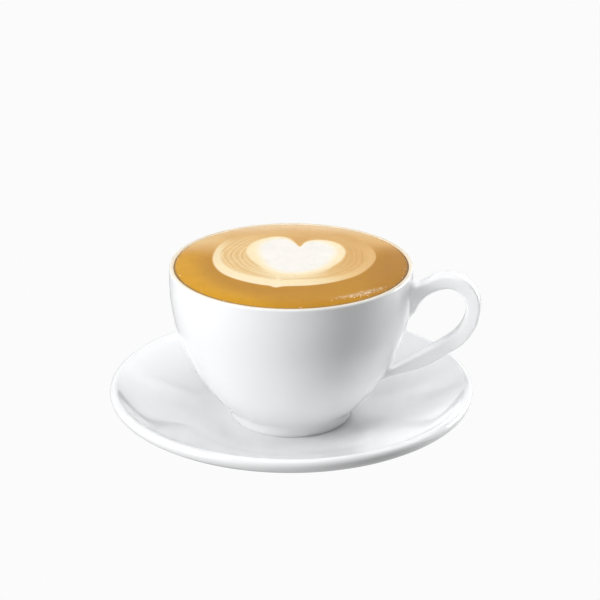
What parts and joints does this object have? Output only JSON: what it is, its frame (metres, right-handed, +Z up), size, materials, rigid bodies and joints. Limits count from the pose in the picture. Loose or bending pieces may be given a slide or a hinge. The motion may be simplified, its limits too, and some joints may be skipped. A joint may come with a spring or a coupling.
{
  "type": "cappuccino",
  "caption": "Cappuccino filled to the brim of a round porcelain cup with an ear-shaped handle, a heart of poured foam in its crema, on its wide saucer.",
  "frame": {"origin": "middle of the circle on which the saucer's foot ring stands, on the axis that cup and saucer share", "axes": "+Z up, +X towards the cup's handle"},
  "size_m": [0.1458, 0.1438, 0.0689],
  "materials": {
    "porcelain": "white glaze, high gloss",
    "crema": null,
    "foam": null
  },
  "bodies": {
    "root": {"saucer": "porcelain", "cup": "porcelain", "coffee": "crema", "foam_heart": "foam", "foam_band": "foam"}
  },
  "joints": []
}
